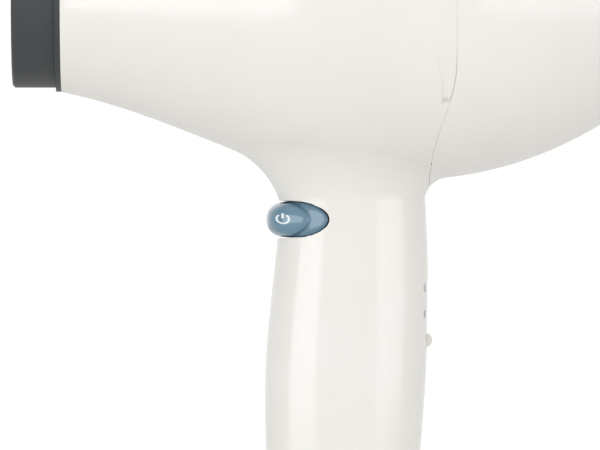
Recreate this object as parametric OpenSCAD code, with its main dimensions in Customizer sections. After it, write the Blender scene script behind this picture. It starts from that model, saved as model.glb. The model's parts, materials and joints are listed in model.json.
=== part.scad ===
// Hair dryer with a round tapering barrel, a front push button and a three-position slide switch.
// Millimetres, +Z up. The origin is on the barrel axis at the outlet face, and +X runs to the intake.
// Depths down the handle are given as s, the distance below the barrel axis, so z = -s.

/* [Barrel] */
// Outer radius of the outlet collar that attachments slip onto
collar_r = 22; // [18:0.1:27]
// Length of the outlet collar
collar_l = 10.5; // [8:0.5:14]
// Length of the housing from its front edge to its rear rim
barrel_l = 138; // [130:1:166]
// Largest outer radius of the barrel
belly_r = 45.6; // [42:0.1:55]
// Outer radius of the rear rim round the intake
rim_r = 31.5; // [29:0.1:38]
// Thickness of the moulded walls
wall = 2.4; // [2:0.1:3]

/* [Handle] */
// Distance from the outlet face to the handle's middle
handle_x = 85; // [82:0.5:90]
// Depth of the handle's bottom edge below the barrel axis
handle_s = 168; // [150:1:202]
// Reach of the handle in front of its middle, where it is deepest
grip_front = 21; // [18:0.1:25]
// Reach of the handle behind its middle, where it is deepest
grip_rear = 20.8; // [18:0.1:25]
// Full width of the handle across the grip
grip_w = 33; // [31:0.5:40]
// Radius of the blend between barrel and handle at the front
front_blend = 12; // [8:0.5:14]
// Radius of the blend between barrel and handle at the back
rear_blend = 5.5; // [4:0.5:7]
// Radius of the blend between barrel and handle at the sides
side_blend = 9; // [7:0.5:11]

/* [Rear cover] */
// Width of the cover's spine down the back of the handle
spine_w = 11.5; // [9.5:0.1:14]
// Gap along the seam between the two mouldings
seam_gap = 0.3; // [0.2:0.05:0.4]

/* [Front button] */
// Depth of the button's middle below the barrel axis
button_s = 55.8; // [55:0.1:60]
// Full height of the button's opening
button_h = 9.5; // [8:0.1:11.4]
// How far the button's nose stands out from the handle
nose_out = 3.1; // [2.5:0.1:4]
// Travel of the button into the handle
button_travel = 1.8; // [1.4:0.1:2.2]
// Gap between the button's face and the edge of its opening
button_gap = 0.45; // [0.3:0.05:0.6]

/* [Slide switch] */
// Depth of the knob's lowest position below the barrel axis
knob_s = 86.7; // [84:0.1:90]
// Distance between two of the knob's three positions
knob_pitch = 6.7; // [5.5:0.1:8]
// Height of the knob
knob_h = 3.8; // [3:0.1:4.6]
// Width of the knob across the spine
knob_w = 6.8; // [5.6:0.1:7.6]
// How far the knob stands out from the spine
knob_out = 1; // [0.8:0.1:1.4]

/* [Air path] */
// Room between the housing's inside and the fan duct at the barrel's widest place
duct_room = 8; // [7:0.5:10]
// Thickness of the duct's wall
duct_wall = 1.6; // [1.2:0.1:2]
// Gap between the fan blades' tips and the duct
tip_gap = 0.7; // [0.5:0.1:1]
// Number of fan blades
blade_count = 9; // [7:1:11]
// Number of fixed vanes that carry the motor
vane_count = 7; // [5:1:9]
// Radius of the fan's hub
hub_r = 9; // [7.5:0.5:11]

/* [Motor] */
// Outer radius of the motor's can
can_r = 13.9; // [11.6:0.1:16.7]
// Length of the motor's can
can_l = 30; // [25:1:33]
// Radius of the motor's shaft
shaft_r = 1.15; // [0.9:0.05:1.5]

/* [Heater] */
// Radius of the heater coils' turns
coil_r = 16; // [14:0.1:16.5]
// Radius of the wound wire
coil_wire_r = 1.2; // [0.9:0.1:1.4]
// Turns in each heater coil
coil_turns = 4; // [3:1:4]
// Distance between two turns of one coil
coil_pitch = 11; // [9.5:0.5:11]

/* [Handle bottom] */
// Radius of the hole that the mains cord comes in through
cord_r = 3.6; // [3:0.1:4.3]
// Radius of the hanging eye's hole
eye_r = 3.8; // [3:0.1:4.5]

/* [Hidden] */

ivory = "#ebe7e0";
slate = "#66879a";
charcoal = "#3a3d40";
steel = "#b9bcc0";
copper = "#c17a45";
brass = "#c9a85a";
mica = "#cdbb94";

shell_fn = 64;
part_fn = 48;
eps = 0.01;
cut = 1;
seat_gap = 0.15;
run_gap = 0.04;
slide_gap = 0.3;

// Barrel outline: knots of [x, radius, slope], joined by smooth cubic spans.
front_x = collar_l + 1.5;
rear_x = front_x + barrel_l;
edge_r = collar_r + 1.2;
shoulder_x = handle_x - 25;
shoulder_r = belly_r - 5.9;
belly_x = handle_x + 15;
barrel_knots = [[front_x, edge_r, 0.2], [shoulder_x, shoulder_r, 0.4], [belly_x, belly_r, 0],
    [rear_x, rim_r, -0.6]];

// Handle outlines: knots of [s, reach, slope] in front of, behind and beside the handle's middle.
neck_s = belly_r + 4.4;
deep_front_s = neck_s + 50;
deep_rear_s = neck_s + 25;
front_knots = [[neck_s, grip_front - 4.1, 0.06], [deep_front_s, grip_front, 0],
    [handle_s, grip_front - 3.5, -0.08]];
rear_knots = [[neck_s, grip_rear - 0.8, 0.06], [deep_rear_s, grip_rear, 0],
    [handle_s, grip_rear - 6.3, -0.05]];
side_knots = [[neck_s, grip_w / 2 - 0.6, 0.03], [deep_front_s - 10, grip_w / 2, 0],
    [handle_s, grip_w / 2 - 2.3, -0.04]];
section_power = 2.4;
section_points = 40;

// Value of a smooth cubic between two knots, then along a list of knots.
function span(x, a, b) = let(h = b[0] - a[0], t = (x - a[0]) / h)
    (2 * t ^ 3 - 3 * t ^ 2 + 1) * a[1] + (t ^ 3 - 2 * t ^ 2 + t) * h * a[2]
    + (3 * t ^ 2 - 2 * t ^ 3) * b[1] + (t ^ 3 - t ^ 2) * h * b[2];
function along(x, knots, i = 0) = i >= len(knots) - 2 || x <= knots[i + 1][0]
    ? span(x, knots[i], knots[i + 1]) : along(x, knots, i + 1);
function within(x, low, high) = min(max(x, low), high);

function barrel_at(x) = along(within(x, front_x, rear_x), barrel_knots);

// Extra reach of a blend of radius r that starts at depth start and turns through the sine `turn`.
function blend(s, start, r, turn) = let(u = within((start - s) / r, 0, turn)) r * (1 - sqrt(1 - u ^ 2));
function reach_front(s) = along(max(s, neck_s), front_knots) + blend(s, neck_s + 1.5, front_blend, 0.935);
function reach_rear(s) = along(max(s, neck_s), rear_knots) + blend(s, neck_s + 0.5, rear_blend, 0.98);
function reach_side(s) = along(max(s, neck_s), side_knots) + blend(s, neck_s - 1.5, side_blend, 0.83);

// One ring of the handle at depth s, a rounded oval drawn inset from its surface.
function signed_power(v, p) = sign(v) * abs(v) ^ p;
function handle_ring(s, front, rear, side) = [for (i = [0:section_points - 1])
    let(a = 360 * (i + 0.5) / section_points, c = signed_power(cos(a), 2 / section_power),
        w = signed_power(sin(a), 2 / section_power))
    [handle_x + (c < 0 ? front : rear) * c, side * w, -s]];

// Closed solid through a stack of rings of equal length, listed from the top down.
module loft(rings) {
    n = len(rings[0]);
    last = (len(rings) - 1) * n;
    sides = [for (i = [0:len(rings) - 2], j = [0:n - 1])
        [i * n + j, i * n + (j + 1) % n, (i + 1) * n + (j + 1) % n, (i + 1) * n + j]];
    top = [for (j = [n - 1:-1:0]) j];
    bottom = [for (j = [0:n - 1]) last + j];
    polyhedron([for (ring = rings) each ring], concat([top], sides, [bottom]));
}

// Tube swept along a route of points, with a ring of `sides` corners at each step.
function unit(v) = v / norm(v);
function heading(route, i) = unit(route[min(i + 1, len(route) - 1)] - route[max(i - 1, 0)]);
function sweep_ring(route, i, r, up, sides) = let(t = heading(route, i), u = unit(cross(t, up)), v = cross(u, t))
    [for (j = [0:sides - 1]) route[i] + r * cos(360 * j / sides) * u + r * sin(360 * j / sides) * v];
module sweep(route, r, up, sides) loft([for (i = [0:len(route) - 1]) sweep_ring(route, i, r, up, sides)]);

// A smooth route through hand-picked points, with `steps` pieces to each stretch.
function smooth_at(p, i, t) = let(n = len(p) - 1, a = p[max(i - 1, 0)], b = p[i], c = p[i + 1],
        d = p[min(i + 2, n)])
    0.5 * (2 * b + t * (c - a) + t ^ 2 * (2 * a - 5 * b + 4 * c - d) + t ^ 3 * (3 * b - a - 3 * c + d));
function smooth(p, steps) = concat([for (i = [0:len(p) - 2], k = [0:steps - 1]) smooth_at(p, i, k / steps)],
    [p[len(p) - 1]]);

// Axis helpers: children drawn along +Z are laid along +X, and flat outlines are drawn in the X-Z plane.
module lay_x(x, s = 0, y = 0) translate([x, y, -s]) rotate([0, 90, 0]) children();
module revolve_x(outline) rotate([0, 90, 0]) rotate_extrude($fn = part_fn)
    polygon([for (p = outline) [p[1], p[0]]]);
module rod_x(x0, x1, r, s = 0, y = 0) lay_x(x0, s, y) cylinder(h = x1 - x0, r = r, $fn = part_fn);
module tube_x(x0, x1, outer, inner) difference() {
    rod_x(x0, x1, outer);
    rod_x(x0 - cut, x1 + cut, inner);
}
module side_view(width) rotate([90, 0, 0]) linear_extrude(width, center = true) children();
module block(x0, x1, y0, y1, s0, s1) translate([x0, y0, -s1]) cube([x1 - x0, y1 - y0, s1 - s0]);
module turned(angles) for (angle = angles) rotate([angle, 0, 0]) children();
module round_about(count, start = 0) turned([for (i = [0:count - 1]) 360 * i / count + start]) children();

// The outer form of barrel and handle, drawn inset from its surface and run on past its open ends.
blend_top_s = belly_r - 10;
module barrel_form(inset, over) {
    steps = 22;
    rows = [for (i = [0:steps]) front_x + barrel_l * i / steps];
    outline = concat([[0, front_x - over], [barrel_at(front_x) - inset, front_x - over]],
        [for (x = rows) [barrel_at(x) - inset, x]],
        [[barrel_at(rear_x) - inset, rear_x + over], [0, rear_x + over]]);
    rotate([0, 90, 0]) rotate_extrude($fn = shell_fn) polygon(outline);
}
function levels(s0, s1, rows) = [for (i = [0:rows]) s0 + (s1 - s0) * i / rows];
module handle_form(inset, levels) loft([for (s = levels)
    handle_ring(s, reach_front(s) - inset, reach_rear(s) - inset, reach_side(s) - inset)]);
module outer_form(inset, over) {
    barrel_form(inset, over);
    handle_form(inset, concat(levels(blend_top_s, neck_s + 1, 10), levels(neck_s + 5, handle_s + over, 12)));
}
module shell() difference() {
    outer_form(0, 0);
    outer_form(wall, cut);
}

// The rear cover's share of the shell: the bowl behind the seam, and the spine down the handle.
seam_x = handle_x + 27.6;
seam_turn_s = 17;
spine_edge = 0.7;
spine_top_s = neck_s - 3;
spine_x = handle_x + reach_rear(spine_top_s) - spine_edge;
function bezier(a, b, c, d, t) = (1 - t) ^ 3 * a + 3 * t * (1 - t) ^ 2 * b + 3 * t ^ 2 * (1 - t) * c + t ^ 3 * d;
seam_curve = [for (i = [0:12]) bezier([seam_x, -seam_turn_s], [seam_x, -seam_turn_s - 10],
    [spine_x + 0.2, 14 - spine_top_s], [spine_x, -spine_top_s], i / 12)];
module cover_share(gap) {
    side_view(2 * belly_r + 2 * cut) translate([-gap, 0]) polygon(concat([[seam_x, belly_r + cut]], seam_curve,
        [[rear_x + 2 * cut, -spine_top_s], [rear_x + 2 * cut, belly_r + cut]]));
    block(handle_x, seam_x, -spine_w / 2 - gap, spine_w / 2 + gap, spine_top_s - eps, handle_s + cut);
}

// Front button opening: a rounded strip that wraps the front of the handle and ends in an oval tip.
button_nose_x = handle_x - reach_front(button_s);
tip_x = button_nose_x + 12.7;
tip_start_x = button_nose_x + 2.5;
lip = 1;
module button_outline(grow, reach) {
    translate([tip_start_x, -button_s]) scale([(tip_x - tip_start_x + reach) / 10, (button_h / 2 + grow) / 10])
        circle(10, $fn = 48);
    translate([button_nose_x - 8, -button_s - button_h / 2 - grow])
        square([tip_start_x - button_nose_x + 8, button_h + 2 * grow]);
}
flange = 1.4;
module button_pocket() intersection() {
    handle_form(lip, levels(button_s - 10, button_s + 10, 7));
    side_view(2 * grip_w) button_outline(flange + slide_gap, button_travel + flange + slide_gap);
}

// Three screw bosses hold the duct, and two at the bottom hold the end cap.
duct_boss_x = seam_x - 16;
duct_face_x = seam_x - 3.6;
duct_boss_r = 3.2;
duct_boss_angles = [0, 100, 260];
ear_r = duct_boss_r - 0.6;
duct_boss_at = barrel_at(duct_face_x) - wall - duct_boss_r + 0.3;
screw_r = 1.3;
module duct_bosses() turned(duct_boss_angles) difference() {
    rod_x(duct_boss_x, duct_face_x, duct_boss_r, s = -duct_boss_at);
    rod_x(duct_boss_x + 2, duct_face_x + cut, screw_r + seat_gap, s = -duct_boss_at);
}
cap_boss_r = 2.9;
cap_boss_y = reach_side(handle_s) - wall - cap_boss_r + 0.5;
plug_s = handle_s - 5;
module cap_bosses() for (side = [-1, 1]) translate([handle_x, side * cap_boss_y, -plug_s + seat_gap]) difference() {
    cylinder(h = 14, r = cap_boss_r, $fn = 24);
    translate([0, 0, -cut]) cylinder(h = 12, r = screw_r + seat_gap, $fn = 24);
}
notch_s = 26.4;
notch_l = 1.6;
module snap_notch() for (side = [-1, 1]) scale([1, side, 1])
    block(seam_x - 2.2 - notch_l, seam_x - 2.2, belly_r * 0.7, belly_r, notch_s - 0.4, notch_s + 0.4);

// resize() with zeros keeps every size, and lets the smooth shells be joined as one mesh.
module main_housing() color(ivory) resize([0, 0, 0]) difference() {
    union() {
        shell();
        duct_bosses();
        cap_bosses();
    }
    cover_share(seam_gap);
    side_view(2 * grip_w) button_outline(0, 0);
    button_pocket();
    snap_notch();
}

// Snap tabs reach forward under the main housing, and a slot in the spine lets the knob's stem through.
tab_l = 5;
tab_t = 1.2;
tab_w = 7;
knob_travel = 2 * knob_pitch;
slot_w = knob_w + 2 * slide_gap;
slot_top_s = knob_s - knob_travel - knob_h / 2 - slide_gap;
slot_end_s = knob_s + knob_h / 2 + slide_gap;
tab_angles = [40, 126, 234, 320];
module snap_tabs() turned(tab_angles) intersection() {
    block(seam_x - tab_l, seam_x + tab_l, -tab_w / 2, tab_w / 2, -belly_r, 10 - belly_r);
    rotate([0, 90, 0]) rotate_extrude($fn = shell_fn) polygon([
        [barrel_at(seam_x - tab_l) - wall - tab_t - slide_gap, seam_x - tab_l],
        [barrel_at(seam_x - tab_l) - wall - slide_gap, seam_x - tab_l],
        [barrel_at(seam_x) - wall - slide_gap, seam_x + 0.4],
        [barrel_at(seam_x + tab_l) - wall / 2, seam_x + 0.5],
        [barrel_at(seam_x + tab_l) - wall / 2, seam_x + tab_l],
        [barrel_at(seam_x + tab_l) - wall - tab_t, seam_x + tab_l]]);
}
module rear_cover() color(ivory) resize([0, 0, 0]) difference() {
    union() {
        intersection() {
            shell();
            cover_share(0);
        }
        snap_tabs();
    }
    block(handle_x, rear_x, -slot_w / 2, slot_w / 2, slot_top_s, slot_end_s);
}

// Outlet ring: the collar outside, a lip over the housing's edge and a spigot inside it.
bore_r = collar_r - 2.6;
spigot_r = edge_r - wall - seat_gap;
spigot_end = front_x + 10;
mouth_round = 0.6;
grille_x = 3.2;
grille_t = 2;
grille_seat = 0.9;
module outlet_ring() color(charcoal) revolve_x([[-mouth_round, bore_r + mouth_round],
    [-mouth_round, collar_r - mouth_round], [0, collar_r], [collar_l, collar_r],
    [collar_l, edge_r - seat_gap], [front_x, edge_r - seat_gap], [front_x, spigot_r],
    [spigot_end, spigot_r], [spigot_end, bore_r - seat_gap],
    [grille_x + grille_t, bore_r - grille_seat], [grille_x + grille_t, bore_r], [0, bore_r]]);

// A flat grille of rings and spokes, used at both ends.
module grille_rings(outer, first, step, bar) {
    for (r = [first:step:outer - bar]) difference() {
        circle(r, $fn = part_fn);
        circle(r - bar, $fn = part_fn);
    }
    difference() {
        circle(outer, $fn = part_fn);
        circle(outer - 1.4, $fn = part_fn);
    }
}
module spokes(inner, outer, count, bar) for (i = [0:count - 1]) rotate(360 * i / count)
    translate([inner, -bar / 2]) square([outer - inner, bar]);
module outlet_grille() color(charcoal) lay_x(grille_x) linear_extrude(grille_t) {
    grille_rings(bore_r - seat_gap, 4, 3.6, 1);
    spokes(3.2, bore_r - 0.8, 6, 1);
}

// Intake grille: a shallow cap with radial slots and a skirt that clips into the rear rim.
cap_face_x = rear_x + 3.2;
intake_r = rim_r - wall - seat_gap;
intake_skirt = 9;
grille_wall = 1.6;
slot_count = 28;
module intake_cap() revolve_x([[rear_x - intake_skirt, intake_r - grille_wall], [rear_x - intake_skirt, intake_r],
    [rear_x + seat_gap, intake_r], [rear_x + seat_gap, rim_r - 0.4], [rear_x + 1.6, rim_r - 1],
    [cap_face_x, rim_r - 4], [cap_face_x + 1, 0], [cap_face_x + 1 - grille_wall, 0],
    [cap_face_x - grille_wall, rim_r - 4.8], [rear_x + seat_gap, intake_r - grille_wall]]);
module intake_slots(inner, outer, count) for (i = [0:count - 1]) rotate(360 * (i + 0.5) / count)
    translate([inner, -0.8]) square([outer - inner, 1.6]);
module intake_grille() color(charcoal) difference() {
    intake_cap();
    lay_x(cap_face_x - 3) linear_extrude(6) {
        intake_slots(16, rim_r - 6.2, slot_count);
        intake_slots(5, 14, slot_count / 2);
    }
}
module intake_filter() color("#8d9297") rod_x(rear_x - 2.2, rear_x - 1.2, intake_r - grille_wall - seat_gap);

// Fan duct: a wide throat round the fan, a cone, and a neck that slips over the mica tube.
duct_r = belly_r - wall - duct_room;
duct_in = duct_r - duct_wall;
tube_r = spigot_r + 0.75;
tube_t = 0.6;
neck_r = tube_r + seat_gap;
tube_end = handle_x - 9;
neck_x0 = tube_end - 6;
cone_x0 = tube_end + 2;
cone_x1 = handle_x + 21;
duct_end = rear_x - 16;
motor_x1 = seam_x + 4.4;
motor_x0 = motor_x1 - can_l;
cup_r = can_r + seat_gap;
cup_wall = 1.6;
vane_x0 = cone_x1 + 1;
bush_r = 3;
module duct_wall_ring() revolve_x([[neck_x0, neck_r], [neck_x0, neck_r + duct_wall],
    [cone_x0, neck_r + duct_wall], [cone_x1, duct_r], [duct_end, duct_r], [duct_end, duct_in],
    [cone_x1, duct_in], [cone_x0, neck_r]]);
module motor_cup() revolve_x([[vane_x0 - 9, cup_r], [vane_x0 - 9, cup_r + cup_wall],
    [motor_x1 + cup_wall, cup_r + cup_wall], [motor_x1 + cup_wall, bush_r + 1.2],
    [motor_x1 + seat_gap, bush_r + 1.2], [motor_x1 + seat_gap, cup_r]]);
module duct_ears() turned(duct_boss_angles) difference() {
    union() {
        rod_x(duct_face_x + seat_gap, duct_face_x + 2.2, ear_r, s = -duct_boss_at);
        block(duct_face_x + seat_gap, duct_face_x + 2.2, -ear_r, ear_r, -duct_boss_at, -duct_in - 0.5);
    }
    rod_x(duct_face_x - cut, duct_face_x + 2.2 + cut, screw_r + seat_gap, s = -duct_boss_at);
}
motor_screw_at = 8;
module fan_duct() color("#55595d") difference() {
    union() {
        duct_wall_ring();
        motor_cup();
        round_about(vane_count, 12) block(vane_x0, motor_x1, -0.6, 0.6, cup_r + 0.5, duct_in + 0.5);
        duct_ears();
    }
    for (side = [-1, 1]) rod_x(motor_x1 - cut, motor_x1 + cup_wall + cut, screw_r + seat_gap,
        s = side * motor_screw_at);
    translate([wire_x, 0, -duct_r]) cylinder(h = duct_r - neck_r + 6, r = 4.4, $fn = part_fn);
}
seal_x = duct_end - 6;
module duct_seal() color("#2b2c2e") tube_x(seal_x, seal_x + 3.5, barrel_at(seal_x + 3.5) - wall - 0.25, duct_r + 0.05);

// Pan-head screw along -X, with its head's seat at x.
module screw_x(x, length, s, y = 0) {
    rod_x(x - length, x, screw_r, s = s, y = y);
    difference() {
        rod_x(x, x + 1.8, 2.4, s = s, y = y);
        block(x + 1, x + 1.8 + cut, y - 0.35, y + 0.35, s - 1.6, s + 1.6);
    }
}
module duct_screws() color(steel) turned(duct_boss_angles) screw_x(duct_face_x + 2.2 + eps, 9, -duct_boss_at);
module motor_screws() color(steel) for (side = [-1, 1])
    screw_x(motor_x1 + cup_wall + eps, 4.5, side * motor_screw_at);

// The turning assembly: shaft, fan, armature and commutator.
fan_x0 = motor_x1 + 4.4;
fan_l = 12;
fan_r = duct_in - tip_gap;
press_gap = 0.02;
module fan_impeller() color("#d9d6cf") {
    difference() {
        union() {
            rod_x(fan_x0, fan_x0 + fan_l, hub_r);
            intersection() {
                round_about(blade_count) translate([fan_x0 + fan_l / 2, 0, hub_r + duct_r / 2]) rotate([0, 0, 52])
                    cube([13, 1.2, duct_r + 2], center = true);
                tube_x(fan_x0 + 0.5, fan_x0 + fan_l - 0.5, fan_r, hub_r - 1);
            }
        }
        rod_x(fan_x0 - cut, fan_x0 + fan_l + cut, shaft_r + press_gap);
    }
}
bell_l = 4;
bell_x0 = motor_x0 - bell_l;
module motor_shaft() color(steel) rod_x(bell_x0 + 0.4, fan_x0 + fan_l + 1.5, shaft_r);
magnet_in = can_r - 3.2;
core_r = magnet_in - 0.6;
core_x0 = motor_x0 + 7.5;
core_x1 = motor_x1 - 6.5;
pole_count = 5;
module armature_core() color("#8b8f94") difference() {
    rod_x(core_x0, core_x1, core_r);
    rod_x(core_x0 - cut, core_x1 + cut, shaft_r + press_gap);
    round_about(pole_count) {
        block(core_x0 - cut, core_x1 + cut, -0.6, 0.6, core_r * 0.8, core_r + cut);
        rod_x(core_x0 - cut, core_x1 + cut, core_r * 0.26, s = core_r * 0.62);
    }
}
module armature_winding() color(copper) {
    round_about(pole_count) rod_x(core_x0 - 1, core_x1 + 1, core_r * 0.26 - 0.1, s = core_r * 0.62);
    tube_x(core_x0 - 2.4, core_x0 - 1, core_r * 0.88, core_r * 0.34);
    tube_x(core_x1 + 1, core_x1 + 2.4, core_r * 0.88, core_r * 0.34);
}
commutator_r = 2.9;
module commutator() color(copper) tube_x(motor_x0 - 0.6, core_x0 - 2.6, commutator_r, shaft_r + press_gap);

// The fixed motor parts.
can_wall = 0.7;
module motor_can() color(steel) difference() {
    revolve_x([[motor_x0, can_r - can_wall], [motor_x0, can_r], [motor_x1, can_r], [motor_x1, bush_r + 1],
        [motor_x1 + 1.6, bush_r + 1], [motor_x1 + 1.6, bush_r], [motor_x1 - 1, bush_r], [motor_x1 - 1, can_r - can_wall]]);
    for (side = [-1, 1]) rod_x(motor_x1 - 2, motor_x1 + cut, screw_r + 0.05, s = side * motor_screw_at);
}
magnet_x0 = core_x0 - 1;
module motor_magnets() color("#4a4644") difference() {
    tube_x(magnet_x0, core_x1 + 1, can_r - can_wall - 0.05, magnet_in);
    block(magnet_x0 - cut, core_x1 + 1 + cut, -can_r, can_r, -2.4, 2.4);
}
module motor_end_bell() color("#1f2022") difference() {
    revolve_x([[bell_x0, bush_r], [bell_x0, can_r], [motor_x0, can_r], [motor_x0, can_r - can_wall],
        [motor_x0 + 2, can_r - can_wall], [motor_x0 + 2, can_r - 2.4], [bell_x0 + 1.4, can_r - 2.4],
        [bell_x0 + 1.4, bush_r + 1.2], [bell_x0 + 3, bush_r + 1.2], [bell_x0 + 3, bush_r]]);
    for (side = [-1, 1]) block(bell_x0 - cut, bell_x0 + 1.4 + cut, side * 8.2 - 1.2, side * 8.2 + 1.2, -0.6, 0.6);
}
module motor_bushes() color(brass) {
    tube_x(bell_x0 + 0.1, bell_x0 + 3, bush_r, shaft_r + run_gap);
    tube_x(motor_x1 - 1, motor_x1 + 1.6, bush_r, shaft_r + run_gap);
}
brush_x0 = motor_x0 + 0.2;
module motor_brushes() color("#2a2a2a") for (side = [-1, 1]) translate([brush_x0, side * 5.4 - 2.2, -1.2]) cube([2.6, 4.4, 2.4]);
board_gap = 0.3;
board_t = 1.6;
board_x0 = bell_x0 - board_gap - board_t;
module motor_terminals() color(brass) for (side = [-1, 1]) {
    block(board_x0 - 1.4, brush_x0 - 0.2, side * 8.2 - 1, side * 8.2 + 1, -0.3, 0.3);
    block(brush_x0 - 0.2, brush_x0 + 2.6, side * 8.1 - 0.4, side * 8.1 + 0.4, -1, 1);
}
module rectifier_board() color("#2f6b45") difference() {
    rod_x(board_x0, board_x0 + board_t, can_r - 0.9);
    for (side = [-1, 1]) block(board_x0 - cut, board_x0 + board_t + cut, side * 8.2 - 1.1, side * 8.2 + 1.1, -0.4, 0.4);
}
diode_r = 1.3;
module rectifier_diodes() color("#202124") for (side = [-1, 1], level = [-1, 1])
    translate([board_x0 - diode_r, side * 4.2, level * 5 - 2.5]) cylinder(h = 5, r = diode_r, $fn = part_fn);

// The heater: a mica tube, two crossed boards with notches, and two coils wound through them.
tube_x0 = front_x + 5;
module mica_tube() color(mica) tube_x(tube_x0, tube_end, tube_r, tube_r - tube_t);
heater_x0 = spigot_end + 2;
heater_x1 = board_x0 - 6;
mica_t = 0.7;
heater_r = tube_r - tube_t - 0.25;
coil_x0 = heater_x0 + 3;
coil_shift = coil_pitch / 2;
notch_w = 2 * coil_wire_r + 0.7;
// Notches along one edge of a board, at the turn angle where both coils pass it.
module coil_notches(turn) for (coil = [0:1], i = [0:coil_turns - 1])
    translate([coil_x0 + coil * coil_shift + coil_pitch * (i + turn / 360) - notch_w / 2, -2, coil_r - coil_wire_r - 0.4])
        cube([notch_w, 4, heater_r]);
module mica_board() difference() {
    block(heater_x0, heater_x1, -mica_t / 2, mica_t / 2, -heater_r, heater_r);
    coil_notches(90);
    rotate([180, 0, 0]) coil_notches(270);
}
heater_mid = (heater_x0 + heater_x1) / 2;
module mica_board_upright() color(mica) difference() {
    mica_board();
    block(heater_mid - 0.1, heater_x1 + cut, -mica_t, mica_t, -mica_t / 2 - 0.1, mica_t / 2 + 0.1);
}
module mica_board_level() color(mica) difference() {
    rotate([-90, 0, 0]) difference() {
        block(heater_x0, heater_x1, -mica_t / 2, mica_t / 2, -heater_r, heater_r);
        coil_notches(0);
        coil_notches(360);
        rotate([180, 0, 0]) coil_notches(180);
    }
    block(heater_x0 - cut, heater_mid + 0.1, -mica_t / 2 - 0.1, mica_t / 2 + 0.1, -mica_t, mica_t);
}
function coil_route(shift) = [for (i = [0:coil_turns * 18]) let(a = i * 20)
    [coil_x0 + shift + coil_pitch * a / 360, coil_r * cos(a), coil_r * sin(a)]];
module heater_coil(shift) sweep(coil_route(shift), coil_wire_r, [1, 0, 0], 8);
module heater_coil_low() color(steel) heater_coil(0);
module heater_coil_high() color(steel) heater_coil(coil_shift);
module thermostat() color("#e6e2d8") {
    block(heater_x1 - 13, heater_x1 - 2, 3, 9, -mica_t / 2 - 3, -mica_t / 2);
}
module thermal_fuse() color(steel) rod_x(heater_x1 - 13, heater_x1 - 2, 1.7, s = mica_t / 2 + 1.7, y = -6);

// Front button: a saddle that slides under the opening's lip, with a raised nose standing through it.
saddle_in = lip + slide_gap;
saddle_t = 1.5;
nose_end_x = button_nose_x + 8;
nose_h = button_h - 2 * button_gap;
module local_form(inset, proud) loft([for (s = levels(button_s - 8, button_s + 8, 7))
    handle_ring(s, reach_front(s) - inset + proud, reach_rear(s) - inset, reach_side(s) - inset)]);
module nose_outline() {
    translate([nose_end_x - nose_h / 2, -button_s]) circle(nose_h / 2, $fn = 40);
    translate([button_nose_x - nose_out + 2.4, -button_s - nose_h / 2]) square([nose_end_x - nose_h / 2
        - button_nose_x + nose_out - 2.4, nose_h]);
    translate([button_nose_x - nose_out + 2.4, -button_s]) scale([2.4 / nose_h * 2, 1]) circle(nose_h / 2, $fn = 40);
}
stem_w = 4.4;
plunger_face_x = handle_x - 9.4;
module trigger_button() color(slate) resize([0, 0, 0]) {
    difference() {
        union() {
            intersection() {
                local_form(saddle_in, 0);
                side_view(2 * grip_w) button_outline(flange, flange);
            }
            intersection() {
                local_form(-0.5, nose_out - 0.5);
                side_view(2 * grip_w) nose_outline();
            }
        }
        local_form(saddle_in + saddle_t, 0);
    }
    block(button_nose_x + saddle_in + saddle_t - 0.6, plunger_face_x, -stem_w / 2, stem_w / 2,
        button_s - stem_w / 2, button_s + stem_w / 2);
}
micro_x0 = plunger_face_x + 2.4;
micro_depth = 10;
micro_t = 6.4;
plunger_r = 1.2;
module trigger_plunger() color("#c8c4ba") rod_x(plunger_face_x + 0.02, micro_x0 + 2.6, plunger_r, s = button_s);
chassis_y0 = micro_t / 2;
chassis_t = 1.6;
module microswitch() color("#1d1e20") difference() {
    block(micro_x0, micro_x0 + micro_depth, -micro_t / 2, micro_t / 2, button_s - 6.6, button_s + 13.2);
    rod_x(micro_x0 - cut, micro_x0 + 2.6 + button_travel + slide_gap, plunger_r + 0.08, s = button_s);
}
// Return spring round the stem's end, between the stem's shoulder and the microswitch.
spring_wire_r = 0.28;
spring_r = 1.9;
spring_x0 = plunger_face_x + spring_wire_r + 0.05;
spring_x1 = micro_x0 - spring_wire_r - 0.05;
spring_turns = 2;
spring_steps = 12;
module trigger_spring() color(steel) sweep([for (i = [0:spring_turns * spring_steps])
    let(a = 360 * i / spring_steps, f = i / (spring_turns * spring_steps))
    [spring_x0 + f * (spring_x1 - spring_x0), spring_r * cos(a), -button_s + spring_r * sin(a)]],
    spring_wire_r, [1, 0, 0], 6);

// Slide switch: the knob's stem joins a carriage inside the spine, whose lever enters the switch.
spine_out_x = handle_x + grip_rear;
carriage_t = 1;
carriage_over = 1.2;
carriage_end_s = slot_end_s + knob_travel + carriage_over;
carriage_x1 = handle_x + reach_rear(carriage_end_s) - wall - 0.9;
carriage_x0 = carriage_x1 - carriage_t;
slide_x1 = carriage_x0 - 0.5;
slide_x0 = slide_x1 - 8.5;
lever_h = 3;
lever_in = 2.4;
module switch_knob() color(ivory) side_view(knob_w) {
    translate([carriage_x1, -knob_s - knob_h / 2]) square([spine_out_x - 0.9 - carriage_x1, knob_h]);
    intersection() {
        translate([spine_out_x - 0.9, -knob_s]) scale([(knob_out + 0.9) / (knob_h / 2), 1]) circle(knob_h / 2, $fn = part_fn);
        translate([spine_out_x - 0.9, -knob_s - knob_h]) square([knob_h * 2, knob_h * 2]);
    }
}
module switch_carriage() color(charcoal) {
    block(carriage_x0, carriage_x1, -slot_w / 2 - 0.9, slot_w / 2 + 0.9,
        slot_top_s - carriage_over, carriage_end_s);
    block(slide_x1 - lever_in, carriage_x0, -1, 1, knob_s - lever_h / 2, knob_s + lever_h / 2);
}
slide_top_s = knob_s - knob_travel - 6;
slide_end_s = knob_s + 6.5;
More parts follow.
